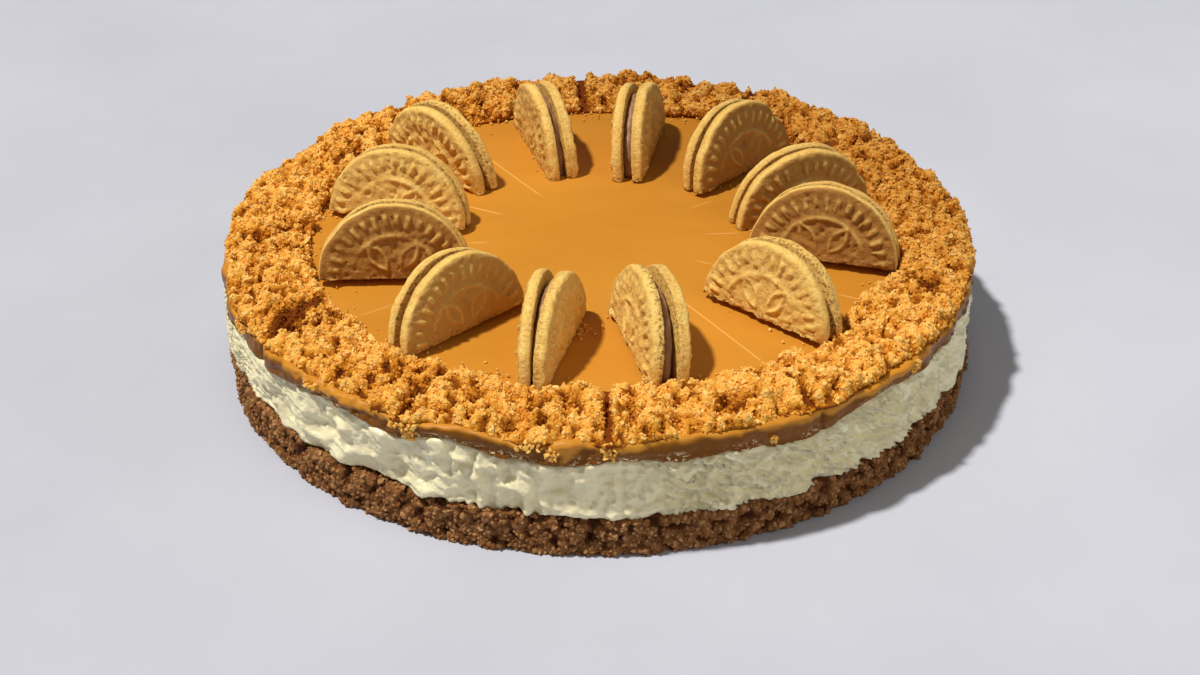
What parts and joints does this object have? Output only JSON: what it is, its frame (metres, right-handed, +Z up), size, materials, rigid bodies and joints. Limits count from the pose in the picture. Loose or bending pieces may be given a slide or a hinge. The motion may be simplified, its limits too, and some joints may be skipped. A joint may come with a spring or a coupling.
{
  "type": "cheesecake",
  "caption": "Round cheesecake with a crumb base, cream filling and caramel topping, a ring of crumbs on top and halved sandwich biscuits standing inside it.",
  "frame": {"origin": "centre of the flat underside of the crumb base", "axes": "+Z up, -Y towards the side of the cake that faced the camera, +X to the right of the picture"},
  "size_m": [0.2541, 0.2545, 0.067],
  "materials": {
    "base_crumb": "rough dark biscuit crumb",
    "cream": "soft smeared cream, satin",
    "caramel": "smooth satin caramel",
    "ring_crumb": "golden biscuit crumbs",
    "biscuit": "baked biscuit, fine pores",
    "biscuit_cream": "dull sandwich cream"
  },
  "bodies": {
    "root": {"crumb_base": "base_crumb", "cream_filling": "cream", "caramel_topping": "caramel", "crumb_ring": "ring_crumb", "biscuit_01_left": "biscuit", "biscuit_01_cream": "biscuit_cream", "biscuit_01_right": "biscuit", "biscuit_02_left": "biscuit", "biscuit_02_cream": "biscuit_cream", "biscuit_02_right": "biscuit", "biscuit_03_left": "biscuit", "biscuit_03_cream": "biscuit_cream", "biscuit_03_right": "biscuit", "biscuit_04_left": "biscuit", "biscuit_04_cream": "biscuit_cream", "biscuit_04_right": "biscuit", "biscuit_05_left": "biscuit", "biscuit_05_cream": "biscuit_cream", "biscuit_05_right": "biscuit", "biscuit_06_left": "biscuit", "biscuit_06_cream": "biscuit_cream", "biscuit_06_right": "biscuit", "biscuit_07_left": "biscuit", "biscuit_07_cream": "biscuit_cream", "biscuit_07_right": "biscuit", "biscuit_08_left": "biscuit", "biscuit_08_cream": "biscuit_cream", "biscuit_08_right": "biscuit", "biscuit_09_left": "biscuit", "biscuit_09_cream": "biscuit_cream", "biscuit_09_right": "biscuit", "biscuit_10_left": "biscuit", "biscuit_10_cream": "biscuit_cream", "biscuit_10_right": "biscuit", "biscuit_11_left": "biscuit", "biscuit_11_cream": "biscuit_cream", "biscuit_11_right": "biscuit", "biscuit_12_left": "biscuit", "biscuit_12_cream": "biscuit_cream", "biscuit_12_right": "biscuit"}
  },
  "joints": []
}
